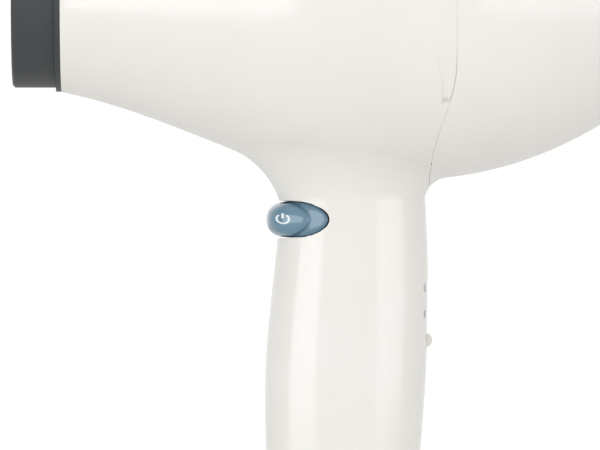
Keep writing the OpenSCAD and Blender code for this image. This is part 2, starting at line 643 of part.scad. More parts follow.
module slide_switch() color("#26282b") difference() {
    block(slide_x0, slide_x1, -micro_t / 2, micro_t / 2, slide_top_s, slide_end_s);
    block(slide_x1 - lever_in - slide_gap, slide_x1 + cut, -1 - slide_gap, 1 + slide_gap,
        knob_s - knob_travel - lever_h / 2 - slide_gap, knob_s + lever_h / 2 + slide_gap);
}

// A flat chassis in the handle carries the switches, the capacitor and the terminal block.
chassis_gap = 0.9;
chassis_top_s = button_s + 8;
chassis_end_s = handle_s - 22;
chassis_back = 12.5;
module handle_chassis() color("#6f7478") rotate([90, 0, 0]) translate([0, 0, -chassis_y0 - chassis_t])
    linear_extrude(chassis_t) {
        polygon(concat([for (i = [0:10]) let(s = chassis_top_s + (chassis_end_s - chassis_top_s) * i / 10)
            [handle_x - reach_front(s) + wall + chassis_gap, -s]],
            [[handle_x + chassis_back, -chassis_end_s], [handle_x + chassis_back, -chassis_top_s]]));
        translate([micro_x0 + 1, -chassis_top_s - eps]) square([handle_x + chassis_back - micro_x0 - 1,
            chassis_top_s - button_s + 6]);
    }
capacitor_s = button_s + 20;
module noise_capacitor() color("#b8912f") block(handle_x - 13, handle_x - 1, -micro_t / 2 + 0.4, micro_t / 2,
    capacitor_s, capacitor_s + 15);
block_s = handle_s - 40;
module terminal_block() color("#e3ded2") difference() {
    block(handle_x - 8, handle_x + 8, -5.5, micro_t / 2, block_s, block_s + 14);
    for (side = [-1, 1]) translate([handle_x + side * 4, -1.2, -block_s - 14 - cut])
        cylinder(h = 14 - 3 + cut, r = 1.8, $fn = part_fn);
}

// Internal leads, each along its own hand-picked route.
wire_r = 1.1;
wire_sides = 8;
wire_y = 1.6;
wire_gap = 0.25;
wire_x = board_x0 + board_t / 2;
live_route = [[handle_x + 4, -wire_y, wire_gap - block_s], [handle_x + 5, -wire_y, -block_s + 12],
    [slide_x0 + 4, -wire_y, -slide_end_s - 12], [slide_x0 + 4, -wire_y, -slide_end_s - wire_gap]];
link_route = [[slide_x0 + 3, -wire_y, wire_gap - slide_top_s], [slide_x0 + 2.4, -wire_y, -slide_top_s + 5],
    [micro_x0 + micro_depth + 3, -wire_y, -button_s - 1], [micro_x0 + micro_depth + wire_gap, -wire_y, -button_s - 1]];
motor_route = [[wire_x - 0.5, -wire_y, -button_s + 6.6 + wire_gap], [wire_x - 0.5, -wire_y, -button_s + 16],
    [wire_x, -wire_y, -can_r - 14], [wire_x, -wire_y, 0.2 - can_r]];
neutral_x = micro_x0 + micro_depth + wire_r + 0.4;
neutral_route = [[handle_x - 4, wire_y - 1, wire_gap - block_s], [handle_x - 3, wire_y - 1, -block_s + 10],
    [neutral_x, wire_y, -capacitor_s - 20], [neutral_x, wire_y, -button_s - 10], [neutral_x, wire_y, -button_s + 6],
    [wire_x + 2.5, wire_y, -button_s + 17], [wire_x, wire_y, -can_r - 12], [wire_x, wire_y, 0.2 - can_r]];
module lead_live() color("#7a4a2c") sweep(smooth(live_route, 4), wire_r, [0, 1, 0], wire_sides);
module lead_link() color("#7a4a2c") sweep(smooth(link_route, 4), wire_r, [0, 1, 0], wire_sides);
module lead_motor() color("#7a4a2c") sweep(smooth(motor_route, 4), wire_r, [0, 1, 0], wire_sides);
module lead_neutral() color("#3a5fa0") sweep(smooth(neutral_route, 4), wire_r, [0, 1, 0], wire_sides);

// Handle bottom: an end cap with a hanging eye, two screws and the cord's gland.
cap_t = 6;
gland_x = handle_x - 5.5;
gland_r = cord_r + 2.2;
eye_x = handle_x + 7.5;
eye_wall = 2.4;
eye_t = 4.4;
eye_s = handle_s + cap_t + eye_r + 0.6;
module handle_outline(s, inset) polygon([for (p = handle_ring(s, reach_front(s) - inset, reach_rear(s) - inset,
    reach_side(s) - inset)) [p[0], p[1]]]);
module end_cap() color(ivory) difference() {
    union() {
        translate([0, 0, -handle_s - cap_t]) linear_extrude(cap_t - seat_gap) handle_outline(handle_s, 0.2);
        translate([0, 0, -handle_s - cut]) linear_extrude(handle_s - plug_s + cut)
            handle_outline(handle_s, wall + seat_gap);
        translate([eye_x, 0, -eye_s]) rotate([90, 0, 0]) cylinder(h = eye_t, r = eye_r + eye_wall, center = true,
            $fn = part_fn);
    }
    translate([gland_x, 0, -handle_s - cap_t - cut]) cylinder(h = 20, r = gland_r + 0.05, $fn = part_fn);
    translate([eye_x, 0, -eye_s]) rotate([90, 0, 0]) cylinder(h = eye_t + 2 * cut, r = eye_r, center = true,
        $fn = part_fn);
    for (side = [-1, 1]) translate([handle_x, side * cap_boss_y, -handle_s - cap_t - cut]) {
        cylinder(h = 20, r = screw_r + seat_gap, $fn = part_fn);
        cylinder(h = 3 + cut, r = 2.6, $fn = part_fn);
    }
}
module cap_screws() color(steel) for (side = [-1, 1])
    translate([handle_x, side * cap_boss_y, -handle_s - cap_t + 1.2]) {
        translate([0, 0, 1.8]) cylinder(h = 13, r = screw_r, $fn = part_fn);
        difference() {
            cylinder(h = 1.79, r = 2.4, $fn = part_fn);
            translate([-1.6, -0.35, -cut]) cube([3.2, 0.7, cut + 0.8]);
        }
    }
module cord_gland() color(charcoal) translate([gland_x, 0, -handle_s - cap_t - 7]) rotate_extrude($fn = part_fn)
    polygon([[cord_r, 0], [gland_r - 0.6, 0], [gland_r - 0.2, 0.6], [gland_r + 1.2, 6], [gland_r + 1.2, 7 - 0.05],
        [gland_r, 7 - 0.05], [gland_r, 7 + cap_t + 5.4], [gland_r + 1, 7 + cap_t + 5.4], [gland_r + 1, 7 + cap_t + 6.6],
        [cord_r, 7 + cap_t + 6.6]]);

main_housing();
rear_cover();
outlet_ring();
outlet_grille();
intake_grille();
intake_filter();
fan_duct();
duct_seal();
duct_screws();
fan_impeller();
motor_shaft();
armature_core();
armature_winding();
commutator();
motor_can();
motor_magnets();
motor_end_bell();
motor_bushes();
motor_brushes();
motor_terminals();
motor_screws();
rectifier_board();
rectifier_diodes();
mica_tube();
mica_board_upright();
mica_board_level();
heater_coil_low();
heater_coil_high();
thermostat();
thermal_fuse();
trigger_button();
trigger_plunger();
trigger_spring();
microswitch();
switch_knob();
switch_carriage();
slide_switch();
handle_chassis();
noise_capacitor();
terminal_block();
lead_live();
lead_link();
lead_motor();
lead_neutral();
end_cap();
cap_screws();
cord_gland();
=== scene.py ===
"""Hair dryer: smooth moulded housings, the front button and finishes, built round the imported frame."""
import json
import math

import bmesh
import bpy
import numpy as np
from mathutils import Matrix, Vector


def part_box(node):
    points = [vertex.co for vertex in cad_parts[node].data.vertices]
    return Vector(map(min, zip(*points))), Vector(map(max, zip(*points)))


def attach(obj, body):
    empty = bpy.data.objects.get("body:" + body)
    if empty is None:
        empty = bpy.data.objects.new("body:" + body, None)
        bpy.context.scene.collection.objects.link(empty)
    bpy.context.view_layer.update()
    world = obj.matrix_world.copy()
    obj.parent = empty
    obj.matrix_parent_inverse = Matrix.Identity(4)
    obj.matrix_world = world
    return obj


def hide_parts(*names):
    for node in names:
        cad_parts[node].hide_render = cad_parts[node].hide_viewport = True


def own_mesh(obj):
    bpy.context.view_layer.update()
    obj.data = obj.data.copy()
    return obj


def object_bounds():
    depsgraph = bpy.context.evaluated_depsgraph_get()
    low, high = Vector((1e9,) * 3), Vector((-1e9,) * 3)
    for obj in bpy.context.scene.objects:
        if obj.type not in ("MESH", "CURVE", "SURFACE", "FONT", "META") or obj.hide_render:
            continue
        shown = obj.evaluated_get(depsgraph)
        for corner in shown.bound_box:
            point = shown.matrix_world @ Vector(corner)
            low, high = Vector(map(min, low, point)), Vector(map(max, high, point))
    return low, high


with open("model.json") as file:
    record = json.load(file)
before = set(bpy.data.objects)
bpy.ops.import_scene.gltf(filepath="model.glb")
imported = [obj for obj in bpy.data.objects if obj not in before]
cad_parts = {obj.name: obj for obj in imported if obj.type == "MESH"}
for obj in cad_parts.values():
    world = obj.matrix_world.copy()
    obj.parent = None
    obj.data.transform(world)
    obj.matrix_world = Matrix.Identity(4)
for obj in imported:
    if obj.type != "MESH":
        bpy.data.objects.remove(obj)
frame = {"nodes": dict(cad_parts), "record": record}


def plain(box):
    """A box as plain lists of numbers."""
    return [[float(c) for c in corner] for corner in box]


cad_box = plain(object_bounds())
MM = 0.001

# ---------------------------------------------------------------- sizes, in millimetres, from the frame


def box_mm(node):
    """A node's lowest and highest corners in millimetres."""
    return [np.array([float(c) for c in corner]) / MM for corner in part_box(node)]


house_low, house_high = box_mm("main_housing")
cover_high = box_mm("rear_cover")[1]
button_low, button_high = box_mm("trigger_button")
knob_low, knob_high = box_mm("switch_knob")
carriage_high = box_mm("switch_carriage")[1]
spring_low, spring_high = box_mm("trigger_spring")

FRONT_X = house_low[0]
REAR_X = cover_high[0]
BELLY_R = house_high[1]
HANDLE_S = -house_low[2]
SEAM_GAP = 0.3
SEAM_X = house_high[0] + SEAM_GAP
SEAM_BEHIND = 27.6
HANDLE_X = SEAM_X - SEAM_BEHIND
WALL = 2.4
EDGE_R = 23.2
RIM_R = 31.5
GRIP_FRONT = 21.0
GRIP_REAR = 20.8
GRIP_HALF = 16.5
NECK_S = BELLY_R + 4.4
SPINE_W = 11.5
BUTTON_S = -(button_low[2] + button_high[2]) / 2
BUTTON_HALF = 4.35
BUTTON_GAP = 0.45
NOSE_OUT = 3.5

# Knots of [place, reach, slope], joined by smooth cubic spans.
BARREL = [(FRONT_X, EDGE_R, 0.2), (HANDLE_X - 25, BELLY_R - 5.9, 0.4),
          (HANDLE_X + 15, BELLY_R, 0.0), (REAR_X, RIM_R, -0.6)]
FRONT = [(NECK_S, GRIP_FRONT - 4.1, 0.06), (NECK_S + 50, GRIP_FRONT, 0.0),
         (HANDLE_S, GRIP_FRONT - 3.5, -0.08)]
REAR = [(NECK_S, GRIP_REAR - 0.8, 0.06), (NECK_S + 25, GRIP_REAR, 0.0),
        (HANDLE_S, GRIP_REAR - 6.3, -0.05)]
SIDE = [(NECK_S, GRIP_HALF - 0.6, 0.03), (NECK_S + 40, GRIP_HALF, 0.0),
        (HANDLE_S, GRIP_HALF - 2.3, -0.04)]
SECTION_POWER = 2.4
FRONT_BLEND, REAR_BLEND, SIDE_BLEND = 12.0, 5.5, 9.0
HANDLE_FADE_S = 10.0
HANDLE_FADE_SLOPE = 3.0


def along(x, knots):
    """Cubic Hermite spans through the knots, held level past both ends."""
    x = np.clip(x, knots[0][0], knots[-1][0])
    value = np.zeros_like(x)
    for (x0, y0, m0), (x1, y1, m1) in zip(knots, knots[1:]):
        h = x1 - x0
        t = (x - x0) / h
        y = ((2 * t**3 - 3 * t**2 + 1) * y0 + (t**3 - 2 * t**2 + t) * h * m0
             + (3 * t**2 - 2 * t**3) * y1 + (t**3 - t**2) * h * m1)
        value = np.where((x >= x0) & (x <= x1), y, value)
    return value


def smooth_step(a, b, x):
    """0 below a, 1 above b, and 3t^2 - 2t^3 between."""
    t = np.clip((x - a) / (b - a), 0, 1)
    return t * t * (3 - 2 * t)


def bezier(a, b, c, d, t):
    """Cubic Bezier value of four numbers at t."""
    return (1 - t)**3 * a + 3 * t * (1 - t)**2 * b + 3 * t * t * (1 - t) * c + t**3 * d


# ---------------------------------------------------------------- the body as one smooth field

def barrel_distance(p):
    """Distance outside the barrel: radius less the profile, shortened by the profile's slope."""
    x = p[..., 0]
    r = np.hypot(p[..., 1], p[..., 2])
    slope = (along(x + 0.2, BARREL) - along(x - 0.2, BARREL)) / 0.4
    return (r - along(x, BARREL)) / np.sqrt(1 + slope**2)


def handle_reach(dx, s):
    """Half sizes of the handle's oval at depth s: along X towards dx, and across."""
    return np.where(dx < 0, along(s, FRONT), along(s, REAR)), along(s, SIDE)


def handle_distance(p):
    """Distance outside the handle along the level ray from its middle to its rounded-oval section."""
    dx, y, s = p[..., 0] - HANDLE_X, p[..., 1], -p[..., 2]
    a, b = handle_reach(dx, s)
    rho = ((np.abs(dx) / a)**SECTION_POWER + (np.abs(y) / b)**SECTION_POWER)**(1 / SECTION_POWER)
    # Above the barrel's middle the handle fades out, so that it never breaks through the top.
    fade = HANDLE_FADE_SLOPE * np.maximum(HANDLE_FADE_S - s, 0)
    return np.hypot(dx, y) * (rho - 1) / np.maximum(rho, 0.3) + fade


def body_field(p):
    """Round union of barrel and handle: a quarter circle joins the two distances.

    With r the blend's radius, the field is max(r, min(a, b)) less the length of (r - a, r - b), each
    held at 0 or more. The radius turns from front or rear to side with the square of the direction.
    """
    a, b = barrel_distance(p), handle_distance(p)
    dx, y = p[..., 0] - HANDLE_X, p[..., 1]
    w = dx / np.maximum(np.hypot(dx, y), 1e-6)
    r = np.where(w < 0, FRONT_BLEND, REAR_BLEND) * w**2 + SIDE_BLEND * (1 - w**2)
    u, v = np.maximum(r - a, 0), np.maximum(r - b, 0)
    return np.maximum(r, np.minimum(a, b)) - np.hypot(u, v)


def gradient(p, step=0.05):
    """Central differences of the body's field."""
    g = np.zeros_like(p)
    for k in range(3):
        e = np.zeros(3)
        e[k] = step
        g[..., k] = (body_field(p + e) - body_field(p - e)) / (2 * step)
    return g


def on_body(p, rounds=12):
    """Points moved onto the body's surface by steps of field over slope, along the gradient."""
    for _ in range(rounds):
        g = gradient(p)
        move = body_field(p) / np.maximum((g**2).sum(-1), 0.05)
        p = p - np.clip(move, -3, 3)[..., None] * g
    return p


def normals_at(p):
    """The field's gradient at unit length, which points out of the body."""
    g = gradient(p)
    return g / np.maximum(np.linalg.norm(g, axis=-1, keepdims=True), 1e-9)


# ---------------------------------------------------------------- the body's grid

# Lines along the barrel, finer at the seam, and round it from the bottom, finer at the snap notch.
# The hole is the window in them under which the handle joins.
HOLE_X0, HOLE_X1 = 53.0, 117.0
HOLE_TURN = 34.0
NOTCH_S = 26.4
X_STRETCHES = [(FRONT_X, HOLE_X0, 26), (HOLE_X0, 104.0, 36), (104.0, 113.6, 26),
               (113.6, HOLE_X1, 4), (HOLE_X1, REAR_X, 22)]
TURN_STRETCHES = [(0.0, HOLE_TURN, 18), (HOLE_TURN, 50.0, 9), (50.0, 57.0, 16), (57.0, 180.0, 50)]
HANDLE_TOP_S = 57.0
# Depths of the handle's rings, finer beside the button, and the rows between window and first ring.
HANDLE_STRETCHES = [(HANDLE_TOP_S, 62.0, 14), (62.0, HANDLE_S, 66)]
BLEND_ROWS = 40


def stretches(parts):
    """Evenly spaced lines over each stretch, in one list."""
    lines = [np.linspace(a, b, n, endpoint=False) for a, b, n in parts]
    return np.concatenate(lines + [[parts[-1][1]]])


def body_grid():
    """Barrel grid with a window under it, handle rings, and a blend between window and first ring."""
    xs = stretches(X_STRETCHES)
    half = stretches(TURN_STRETCHES)
    turns = np.radians(np.concatenate([-half[:0:-1], half[:-1]]))
    nx, nt = len(xs), len(turns)
    grid_x, grid_t = np.meshgrid(xs, turns, indexing="ij")
    r = along(grid_x, BARREL)
    barrel = np.stack([grid_x, r * np.sin(grid_t), -r * np.cos(grid_t)], -1)
    index = np.arange(nx * nt).reshape(nx, nt)
    i0, i1 = int(np.argmin(abs(xs - HOLE_X0))), int(np.argmin(abs(xs - HOLE_X1)))
    j0 = int(np.argmin(abs(np.degrees(turns) + HOLE_TURN)))
    j1 = int(np.argmin(abs(np.degrees(turns) - HOLE_TURN)))
    a, b = index[:-1], index[1:]
    quads = np.stack([a, np.roll(a, -1, 1), np.roll(b, -1, 1), b], -1)
    keep = np.ones(quads.shape[:2], bool)
    keep[i0:i1, j0:j1] = False
    quads = quads[keep]
    # The window's edge, walked once round from its rear corner on the low-Y side.
    loop = np.concatenate([index[i1, j0:j1], index[i1:i0:-1, j1],
                           index[i0, j1:j0:-1], index[i0:i1, j0]])
    points = barrel.reshape(-1, 3)
    edge = points[loop]
    n = len(loop)
    angle = np.arctan2(edge[:, 1], edge[:, 0] - HANDLE_X)

    def ring(s):
        c, w = np.cos(angle), np.sin(angle)
        deep, side = handle_reach(c, np.full(n, s))
        reach = ((abs(c) / deep)**SECTION_POWER + (abs(w) / side)**SECTION_POWER)**(-1 / SECTION_POWER)
        return np.stack([HANDLE_X + reach * c, reach * w, np.full(n, -s)], -1)

    top = ring(HANDLE_TOP_S)
    corner = top.copy()
    corner[:, 2] = -np.sqrt(np.maximum(along(top[:, 0], BARREL)**2 - top[:, 1]**2, 1)) - 1
    t = np.linspace(0, 1, BLEND_ROWS + 1)[1:-1, None, None]
    blend = (1 - t)**2 * edge + 2 * t * (1 - t) * corner + t**2 * top
    handle = np.concatenate([ring(s) for s in stretches(HANDLE_STRETCHES)])
    extra = np.concatenate([blend.reshape(-1, 3), handle])
    base = len(points)
    strips = np.vstack([loop, base + np.arange(len(extra)).reshape(-1, n)])
    upper, lower = strips[:-1], strips[1:]
    more = np.stack([upper, lower, np.roll(lower, -1, 1), np.roll(upper, -1, 1)], -1)
    points = on_body(np.vstack([points, extra]))
    # End rows stay exactly on their planes.
    points[:nt, 0] = FRONT_X
    points[(nx - 1) * nt:nx * nt, 0] = REAR_X
    points[-n:, 2] = -HANDLE_S
    faces = np.vstack([quads, more.reshape(-1, 4)])
    used, inverse = np.unique(faces, return_inverse=True)
    faces = inverse.reshape(faces.shape)
    return points[used], np.vstack([faces[:, [0, 1, 2]], faces[:, [0, 2, 3]]])


def clip(points, tris, field, snap=0.3):
    """The part of a triangle mesh where field >= 0, cut along the field's zero line.

    Corners close to the line are first slid onto it, then each crossed triangle is cut at the
    straight-line zero of its crossed edges, and new corners on a shared edge are made once.
    """
    f = field(points)
    edges = np.unique(np.sort(tris[:, [[0, 1], [1, 2], [2, 0]]].reshape(-1, 2), axis=1), axis=0)
    fa, fb = f[edges[:, 0]], f[edges[:, 1]]
    crossed = fa * fb < 0
    a, b = edges[crossed].T
    t = f[a] / (f[a] - f[b])
    points = points.copy()
    for near, far, part in ((a, b, t), (b, a, 1 - t)):
        close = part < snap
        order = np.argsort(-part[close])
        who, other, share = near[close][order], far[close][order], part[close][order]
        points[who] = points[who] * (1 - share[:, None]) + points[other] * share[:, None]
        f[who] = 0.0
    inside = (f[tris] >= 0).sum(1)
    # A triangle with all three corners on the line is kept where its middle is inside.
    on_line = (f[tris] == 0).all(1)
    whole = (inside == 3) & (~on_line | (field(points[tris].mean(1)) > 0))
    mixed = tris[(inside == 1) | (inside == 2)]
    kind = f[mixed] >= 0
    new_edges = []
    out = [tris[whole]]
    for count, lone in ((1, kind), (2, ~kind)):
        pick = lone.sum(1) == 1
        chosen, mark = mixed[pick], lone[pick]
        first = mark.argmax(1)
        rows = np.arange(len(chosen))
        p = chosen[rows, first]
        q = chosen[rows, (first + 1) % 3]
        r = chosen[rows, (first + 2) % 3]
        new_edges.append((count, p, q, r))
    pairs = np.concatenate([np.stack([np.minimum(p, m), np.maximum(p, m)], -1)
                            for _, p, q, r in new_edges for m in (q, r)])
    keys, inverse = np.unique(pairs, axis=0, return_inverse=True)
    inverse = inverse.reshape(-1)
    fa, fb = f[keys[:, 0]], f[keys[:, 1]]
    t = (fa / np.where(fa == fb, 1, fa - fb))[:, None]
    cuts = points[keys[:, 0]] * (1 - t) + points[keys[:, 1]] * t
    start = 0
    for count, p, q, r in new_edges:
        n = len(p)
        pq = len(points) + inverse[start:start + n]
        pr = len(points) + inverse[start + n:start + 2 * n]
        start += 2 * n
        if count == 1:
            out.append(np.stack([p, pq, pr], -1))
        else:
            out += [np.stack([pq, q, r], -1), np.stack([pq, r, pr], -1)]
    return tidy(np.vstack([points, cuts]), np.vstack(out))


def tidy(points, tris, size=1e-4):
    """Joins corners that coincide and drops the triangles that this flattens."""
    used = np.unique(tris)
    keys = np.round(points[used] / size).astype(np.int64)
    _, first, inverse = np.unique(keys, axis=0, return_index=True, return_inverse=True)
    new = np.full(len(points), -1)
    new[used] = inverse.reshape(-1)
    tris = new[tris]
    good = (tris[:, 0] != tris[:, 1]) & (tris[:, 1] != tris[:, 2]) & (tris[:, 2] != tris[:, 0])
    return points[used][first], tris[good]


def boundary(tris):
    """Directed edges that belong to one triangle only."""
    edges = tris[:, [[0, 1], [1, 2], [2, 0]]].reshape(-1, 2)
    _, inverse, counts = np.unique(np.sort(edges, 1), axis=0, return_inverse=True, return_counts=True)
    return edges[counts[inverse.reshape(-1)] == 1]


def shell(points, tris, normals, wall, edge, turns=4):
    """A closed shell: the outer skin, the same skin moved in by the wall, and a rim with a rounded edge.

    Along the rim a point goes out by edge*sin(a) and down by edge*(1 - cos(a)) for a from 0 to 90
    degrees, then straight down to the inner skin.
    """
    n = len(points)
    rim = boundary(tris)
    a, b = rim.T
    along_edge = points[b] - points[a]
    along_edge /= np.maximum(np.linalg.norm(along_edge, axis=1, keepdims=True), 1e-9)
    out = np.cross(along_edge, normals[a] + normals[b])
    t = np.zeros_like(points)
    np.add.at(t, a, out)
    np.add.at(t, b, out)
    corner = np.unique(rim)
    t = t[corner]
    m = normals[corner]
    t -= (t * m).sum(1, keepdims=True) * m
    t /= np.maximum(np.linalg.norm(t, axis=1, keepdims=True), 1e-9)
    place = np.full(n, -1)
    place[corner] = np.arange(len(corner))
    depth = wall[:, None]
    rows, facing = [], []
    for angle in np.linspace(0, math.pi / 2, turns + 1)[1:]:
        rows.append(points[corner] + edge * math.sin(angle) * t - edge * (1 - math.cos(angle)) * m)
        facing.append(math.sin(angle) * t + math.cos(angle) * m)
    rows.append(points[corner] + edge * t - depth[corner] * m)
    facing.append(t)
    inner = points - depth * normals
    all_points = np.vstack([points, inner] + rows)
    all_normals = np.vstack([normals, -normals] + facing)
    strips = [a, *(2 * n + k * len(corner) + place[a] for k in range(len(rows))), a + n]
    ends = [b, *(2 * n + k * len(corner) + place[b] for k in range(len(rows))), b + n]
    sides = []
    for k in range(len(strips) - 1):
        sides += [np.stack([strips[k], strips[k + 1], ends[k + 1]], -1),
                  np.stack([strips[k], ends[k + 1], ends[k]], -1)]
    faces = np.vstack([tris, tris[:, ::-1] + n] + sides)
    return all_points, faces, all_normals


def make_mesh(name, points, faces, normals=None, smooth=True):
    """A mesh object from arrays in millimetres, with smooth shading by the given normals."""
    mesh = bpy.data.meshes.new(name)
    mesh.from_pydata((points * MM).tolist(), [], faces.tolist())
    mesh.polygons.foreach_set("use_smooth", np.full(len(mesh.polygons), smooth))
    mesh.update()
    if normals is not None:
        mesh.normals_split_custom_set_from_vertices(normals.tolist())
    obj = bpy.data.objects.new(name, mesh)
    bpy.context.scene.collection.objects.link(obj)
    return obj


# ---------------------------------------------------------------- seam, opening and slot as fields

# The seam drops straight to SEAM_TURN_S and then leans forward to the spine's top.
SEAM_TURN_S = 17.0
SPINE_TOP_S = NECK_S - 3
SPINE_EDGE = 0.7


def middle_x(x, s):
    """Place on the body, on its middle plane at depth s, nearest to x."""
    return float(on_body(np.array([[x, 0.0, -s]]))[0, 0])


SPINE_X = middle_x(HANDLE_X + GRIP_REAR + 1, SPINE_TOP_S) - SPINE_EDGE
seam_t = np.linspace(0, 1, 60)
SEAM_CURVE_X = bezier(SEAM_X, SEAM_X, SPINE_X + 0.2, SPINE_X, seam_t)
SEAM_CURVE_S = bezier(SEAM_TURN_S, SEAM_TURN_S + 10, SPINE_TOP_S - 14, SPINE_TOP_S, seam_t)


def cover_field(p):
    """Positive on the rear cover: behind the seam's curve, and within the spine's width below it."""
    x, y, s = p[..., 0], p[..., 1], -p[..., 2]
    before, seam, after = (np.interp(s + d, SEAM_CURVE_S, SEAM_CURVE_X) for d in (-0.5, 0, 0.5))
    slope = after - before
    bowl = (x - seam) / np.sqrt(1 + slope**2)
    spine = np.minimum(SPINE_W / 2 - np.abs(y), x - HANDLE_X)
    mix = smooth_step(SPINE_TOP_S - 1, SPINE_TOP_S + 3, s)
    return bowl * (1 - mix) + spine * mix


# The button runs from its nose on the handle's front, strip then half oval, to a tip on each flank.
NOSE_X = middle_x(HANDLE_X - GRIP_FRONT, BUTTON_S)
TIP_X = NOSE_X + 12.7
OVAL_X = NOSE_X + 2.5


def button_distance(p, half, tip):
    """Distance outside the button's outline: a strip in front of OVAL_X that ends in a half oval."""
    dx, ds = p[..., 0] - OVAL_X, np.abs(-p[..., 2] - BUTTON_S)
    f = np.hypot(dx / (tip - OVAL_X), ds / half)
    oval = (f - 1) * np.hypot(dx, ds) / np.maximum(f, 1e-6)
    return np.where(dx > 0, oval, ds - half)


def opening_field(p):
    """Positive outside the button's opening."""
    return button_distance(p, BUTTON_HALF + BUTTON_GAP, TIP_X + 0.1)


SLIDE_GAP = 0.3
CARRIAGE_OVER = 1.2
SLOT_HALF = knob_high[1] + SLIDE_GAP
SLOT_TOP_S = -carriage_high[2] + CARRIAGE_OVER
SLOT_END_S = -knob_low[2] + SLIDE_GAP
SLOT_CORNER = 1.0


def slot_field(p):
    """Distance outside the knob's slot, a rectangle with rounded corners on the back of the handle."""
    y, s = np.abs(p[..., 1]), -p[..., 2]
    middle, half = (SLOT_TOP_S + SLOT_END_S) / 2, (SLOT_END_S - SLOT_TOP_S) / 2
    qy = y - (SLOT_HALF - SLOT_CORNER)
    qs = np.abs(s - middle) - (half - SLOT_CORNER)
    outside = np.hypot(np.maximum(qy, 0), np.maximum(qs, 0)) + np.minimum(np.maximum(qy, qs), 0)
    return np.where(p[..., 0] > HANDLE_X, outside - SLOT_CORNER, GRIP_REAR)


RELIEF_TOP_S = 12.0
RELIEF_DEPTH = 0.4
NOTCH_DEPTH = 0.7
# The relief's front edge: depth below the axis, and place ahead of the seam.
RELIEF_EDGE = [(RELIEF_TOP_S, 6.2), (17.4, 4.8), (20.0, 3.8), (NOTCH_S, 3.6)]
NOTCH_BACK = 1.9


def relief_depth(p):
    """Depth of the finger relief in front of the seam, which ends in the snap notch.

    Products of smooth steps: across its front edge, and down from its top to the notch's lower edge.
    """
    x, s = p[..., 0], -p[..., 2]
    line = SEAM_X - np.interp(s, *zip(*RELIEF_EDGE))
    across = smooth_step(line - 0.2, line + 0.3, x)
    relief = RELIEF_DEPTH * across * smooth_step(RELIEF_TOP_S - 2, NOTCH_S - 6, s)
    behind = 1 - smooth_step(SEAM_X - NOTCH_BACK - 0.7, SEAM_X - NOTCH_BACK, x)
    notch = NOTCH_DEPTH * across * behind * smooth_step(NOTCH_S - 1.2, NOTCH_S - 0.3, s)
    return (relief + notch) * (1 - smooth_step(NOTCH_S, NOTCH_S + 0.4, s))


def field_normals(points, depth_of):
    """Normals of the body sunk by depth_of, from its differences along two tangents."""
    n = normals_at(points)
    side = np.cross(n, [0.0, 0.0, 1.0])
    flat = np.linalg.norm(side, axis=1, keepdims=True) < 0.1
    side = np.where(flat, np.cross(n, [1.0, 0.0, 0.0]), side)
    side /= np.linalg.norm(side, axis=1, keepdims=True)
    up = np.cross(n, side)
    step = 0.15
    da = (depth_of(points + step * side) - depth_of(points - step * side)) / (2 * step)
    db = (depth_of(points + step * up) - depth_of(points - step * up)) / (2 * step)
    n = n + da[:, None] * side + db[:, None] * up
    return n / np.linalg.norm(n, axis=1, keepdims=True)


# The two shells close up to well under a hair's breadth, each with a small rounded edge. Round the
# button's opening the wall thins to a lip.
EDGE = 0.13
HALF_SEAM = 0.004
LIP = 0.8
LIP_FROM, LIP_TO = 1.6, 3.2
body_points, body_tris = body_grid()


def make_main_housing():
    """Front of the barrel and the handle, less the rear cover's share and the button's opening."""
    points, tris = clip(body_points, body_tris, lambda p: -cover_field(p) - HALF_SEAM - EDGE)
    points, tris = clip(points, tris, lambda p: opening_field(p) - EDGE)
    n = field_normals(points, relief_depth)
    points = points - relief_depth(points)[:, None] * normals_at(points)
    pocket = 1 - smooth_step(LIP_FROM, LIP_TO, opening_field(points))
    wall = WALL - (WALL - LIP) * pocket
    return make_mesh("main_housing_skin", *shell(points, tris, n, wall, EDGE))


def make_rear_cover():
    """Rear bowl and spine, less the knob's slot."""
    points, tris = clip(body_points, body_tris, lambda p: cover_field(p) - HALF_SEAM - EDGE)
    points, tris = clip(points, tris, lambda p: slot_field(p) - EDGE)
    wall = np.full(len(points), WALL)
    return make_mesh("rear_cover_skin", *shell(points, tris, normals_at(points), wall, EDGE))


# ---------------------------------------------------------------- the front button

# The dome: its end, its lift on the flanks, and how far the body faces forward where it swells.
LOBE_END_X = NOSE_X + 7.4
LOBE_OUT = 1.15
SWELL_FROM = 0.55
# The tail's depth under the body, its rim's further drop, and the skirt's depth.
TAIL_DEPTH = 1.0
RIM_DROP = 0.35
SKIRT_DEPTH = 3.0
# Powers of the dome's outline and profile, and how softly it meets the tail.
RUN_POWER, DOME_POWER, DOME_ROOT = 1.15, 1.3, 2.4
CREASE = 0.16
BUTTON_END_X = TIP_X - BUTTON_GAP
TIP_ROOM = 0.03
BUTTON_COLUMNS = 150
BUTTON_ROWS = 44
COLUMN_POWER = 1.6
COLUMN_START = 0.02


def outline_share(x):
    """The button's height at x as a share of its full height: 1 in front, sqrt(1 - t^2) to the tip."""
    t = np.clip((x - OVAL_X) / (BUTTON_END_X - OVAL_X + TIP_ROOM), 0, 1)
    return np.sqrt(1 - t**2)


